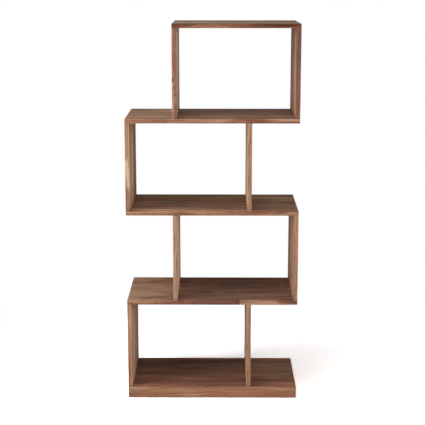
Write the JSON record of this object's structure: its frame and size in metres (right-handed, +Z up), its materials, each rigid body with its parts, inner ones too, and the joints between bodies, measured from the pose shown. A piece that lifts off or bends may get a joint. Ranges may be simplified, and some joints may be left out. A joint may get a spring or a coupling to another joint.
{
  "type": "staggered display shelf",
  "caption": "Tall open wooden shelving unit of stacked box compartments that step left and right, on a deep base, for books and display.",
  "frame": {"origin": "on the floor, under the middle of the unit's width and depth", "axes": "+Z up, +X to the right seen from the front, front faces -Y"},
  "size_m": [0.7, 0.36, 1.549],
  "materials": {
    "hardwood": "flat oiled",
    "dowel_wood": "bare beech",
    "glide_plastic": "moulded"
  },
  "bodies": {
    "root": {"base_panel": "hardwood", "base_front_rail": "hardwood", "base_back_rail": "hardwood", "base_left_rail": "hardwood", "base_bearer": "hardwood", "base_right_rail": "hardwood", "shelf_1": "hardwood", "shelf_2": "hardwood", "shelf_3": "hardwood", "top_board": "hardwood", "upright_1_left": "hardwood", "upright_1_right": "hardwood", "upright_2_left": "hardwood", "upright_2_right": "hardwood", "upright_3_left": "hardwood", "upright_3_right": "hardwood", "upright_4_left": "hardwood", "upright_4_right": "hardwood", "upright_1_left_foot_dowels": "dowel_wood", "upright_1_left_head_dowels": "dowel_wood", "upright_1_right_foot_dowels": "dowel_wood", "upright_1_right_head_dowels": "dowel_wood", "upright_2_left_foot_dowels": "dowel_wood", "upright_2_left_head_dowels": "dowel_wood", "upright_2_right_foot_dowels": "dowel_wood", "upright_2_right_head_dowels": "dowel_wood", "upright_3_left_foot_dowels": "dowel_wood", "upright_3_left_head_dowels": "dowel_wood", "upright_3_right_foot_dowels": "dowel_wood", "upright_3_right_head_dowels": "dowel_wood", "upright_4_left_foot_dowels": "dowel_wood", "upright_4_left_head_dowels": "dowel_wood", "upright_4_right_foot_dowels": "dowel_wood", "upright_4_right_head_dowels": "dowel_wood", "base_left_rail_dowels": "dowel_wood", "base_bearer_dowels": "dowel_wood", "base_right_rail_dowels": "dowel_wood", "glides": "glide_plastic"}
  },
  "joints": []
}
